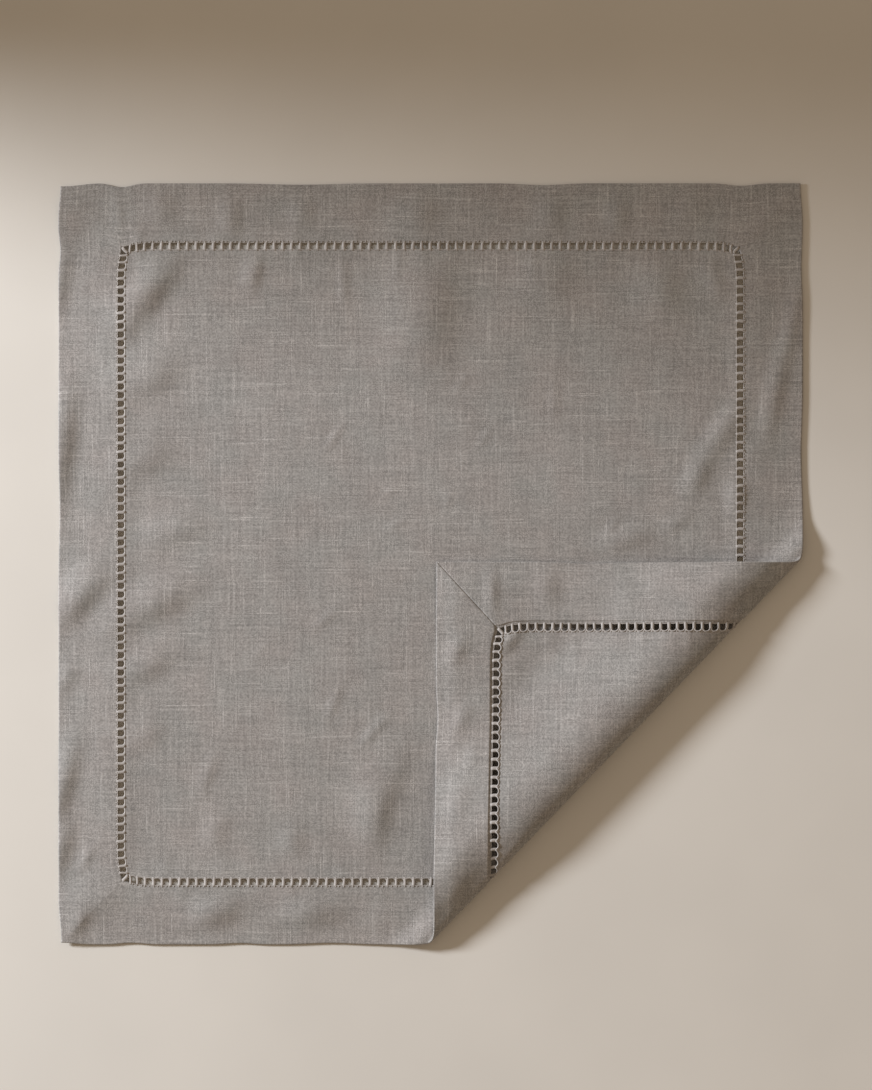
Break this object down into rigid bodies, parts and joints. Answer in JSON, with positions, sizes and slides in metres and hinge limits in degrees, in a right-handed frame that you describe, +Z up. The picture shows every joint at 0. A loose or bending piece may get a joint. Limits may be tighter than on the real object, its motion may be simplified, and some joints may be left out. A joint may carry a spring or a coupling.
{
  "type": "folded cloth napkin",
  "caption": "Square linen napkin with a wide hemstitched border, lying flat with one corner folded over a soft roll onto its face.",
  "frame": {"origin": "on the table, under the middle of the napkin", "axes": "+Z up from the table, +Y towards the far hem, and the folded corner is the one at +X and -Y"},
  "size_m": [0.4, 0.409, 0.0146],
  "materials": {
    "linen": "matte plain-weave linen, warm grey"
  },
  "bodies": {
    "root": {"napkin": "linen"}
  },
  "joints": []
}
